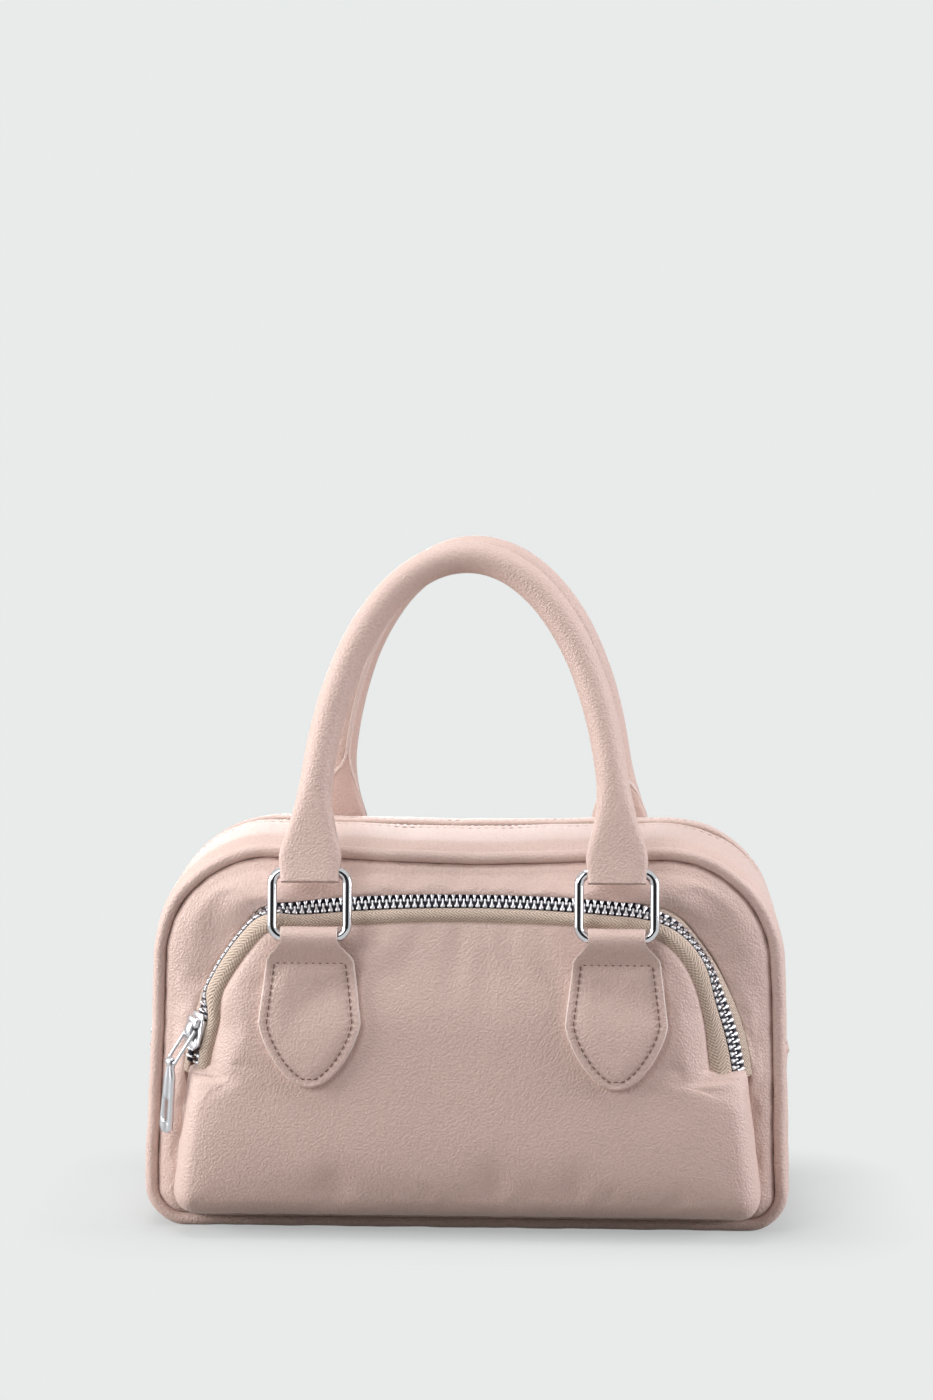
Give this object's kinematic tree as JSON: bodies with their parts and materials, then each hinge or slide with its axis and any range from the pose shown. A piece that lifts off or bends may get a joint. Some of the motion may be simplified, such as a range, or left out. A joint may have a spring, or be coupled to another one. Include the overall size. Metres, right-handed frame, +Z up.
{
  "type": "crossbody bag",
  "caption": "Small bowling-style bag in grained imitation leather with piped edges, a puffed zipped front pocket and rolled handles hung on ring tabs.",
  "frame": {"origin": "middle of the flat underside that the bag rests on", "axes": "+Z up, the pocket faces -Y, +X to the right seen from the front"},
  "size_m": [0.2364, 0.1267, 0.2463],
  "materials": {
    "leather": "fine pebble grain, semi-matt",
    "zip_tape": "woven tape",
    "zip_metal": "bright nickel",
    "ring_metal": "mirror polish",
    "lining": "plain weave",
    "board": "matt",
    "core": "twisted cord"
  },
  "bodies": {
    "bag": {"front_panel": "leather", "back_panel": "leather", "base_gusset": "leather", "zip_strip_front": "leather", "zip_strip_back": "leather", "front_piping": "leather", "back_piping": "leather", "pocket_facing": "leather", "front_tab_left": "leather", "front_tab_right": "leather", "back_tab_left": "leather", "back_tab_right": "leather", "pocket_tape_upper": "zip_tape", "pocket_tape_lower": "zip_tape", "main_tape_front": "zip_tape", "main_tape_back": "zip_tape", "pocket_teeth_upper": "zip_metal", "pocket_teeth_lower": "zip_metal", "main_teeth_front": "zip_metal", "main_teeth_back": "zip_metal", "lining": "lining", "base_board": "board"},
    "front_rings": {"front_ring_left": "ring_metal", "front_ring_right": "ring_metal"},
    "front_handle": {"front_handle": "leather", "front_handle_core": "core"},
    "back_rings": {"back_ring_left": "ring_metal", "back_ring_right": "ring_metal"},
    "back_handle": {"back_handle": "leather", "back_handle_core": "core"},
    "pocket_slider": {"pocket_slider": "zip_metal"},
    "pocket_pull_link": {"pocket_pull_link": "zip_metal"},
    "pocket_pull_tab": {"pocket_pull_tab": "zip_metal"},
    "main_slider": {"main_slider": "zip_metal"},
    "main_pull_link": {"main_pull_link": "zip_metal"},
    "main_pull_tab": {"main_pull_tab": "zip_metal"}
  },
  "joints": [
    {"name": "front_rings_swing", "type": "hinge", "parent": "bag", "child": "front_rings", "pos_m": [0, -0.06582, 0.108], "axis": [1, 0, 0], "range_deg": [-4, 95]},
    {"name": "front_handle_swing", "type": "hinge", "parent": "front_rings", "child": "front_handle", "pos_m": [0, -0.06259, 0.13097], "axis": [1, 0, 0], "range_deg": [-9, 60]},
    {"name": "back_rings_swing", "type": "hinge", "parent": "bag", "child": "back_rings", "pos_m": [0, 0.0533, 0.108], "axis": [-1, 0, 0], "range_deg": [0, 95]},
    {"name": "back_handle_swing", "type": "hinge", "parent": "back_rings", "child": "back_handle", "pos_m": [0, 0.0533, 0.1312], "axis": [-1, 0, 0], "range_deg": [-9, 60]},
    {"name": "pocket_slider_travel", "type": "hinge", "parent": "bag", "child": "pocket_slider", "pos_m": [-0.0092, -0.05478, 0.0496], "axis": [0, 1, 0], "range_deg": [0, 6], "deforming": ["pocket_teeth_upper", "pocket_teeth_lower", "pocket_tape_upper", "pocket_tape_lower"]},
    {"name": "pocket_link_swing", "type": "hinge", "parent": "pocket_slider", "child": "pocket_pull_link", "pos_m": [-0.09709, -0.05705, 0.07331], "axis": [-0.5944, 0.788, 0.1604], "range_deg": [0, 100]},
    {"name": "pocket_pull_swing", "type": "hinge", "parent": "pocket_pull_link", "child": "pocket_pull_tab", "pos_m": [-0.10405, -0.06003, 0.06214], "axis": [-0.5944, 0.788, 0.1604], "range_deg": [0, 80]},
    {"name": "main_slider_travel", "type": "slide", "parent": "bag", "child": "main_slider", "axis": [0.033, 0, 0.9995], "range_m": [0, 0.02], "deforming": ["main_teeth_front", "main_teeth_back", "main_tape_front", "main_tape_back"]},
    {"name": "main_link_swing", "type": "hinge", "parent": "main_slider", "child": "main_pull_link", "pos_m": [-0.11572, 0, 0.07614], "axis": [0, 1, 0], "range_deg": [0, 120]},
    {"name": "main_pull_swing", "type": "hinge", "parent": "main_pull_link", "child": "main_pull_tab", "pos_m": [-0.11815, 0, 0.06287], "axis": [0, 1, 0], "range_deg": [0, 90]}
  ]
}
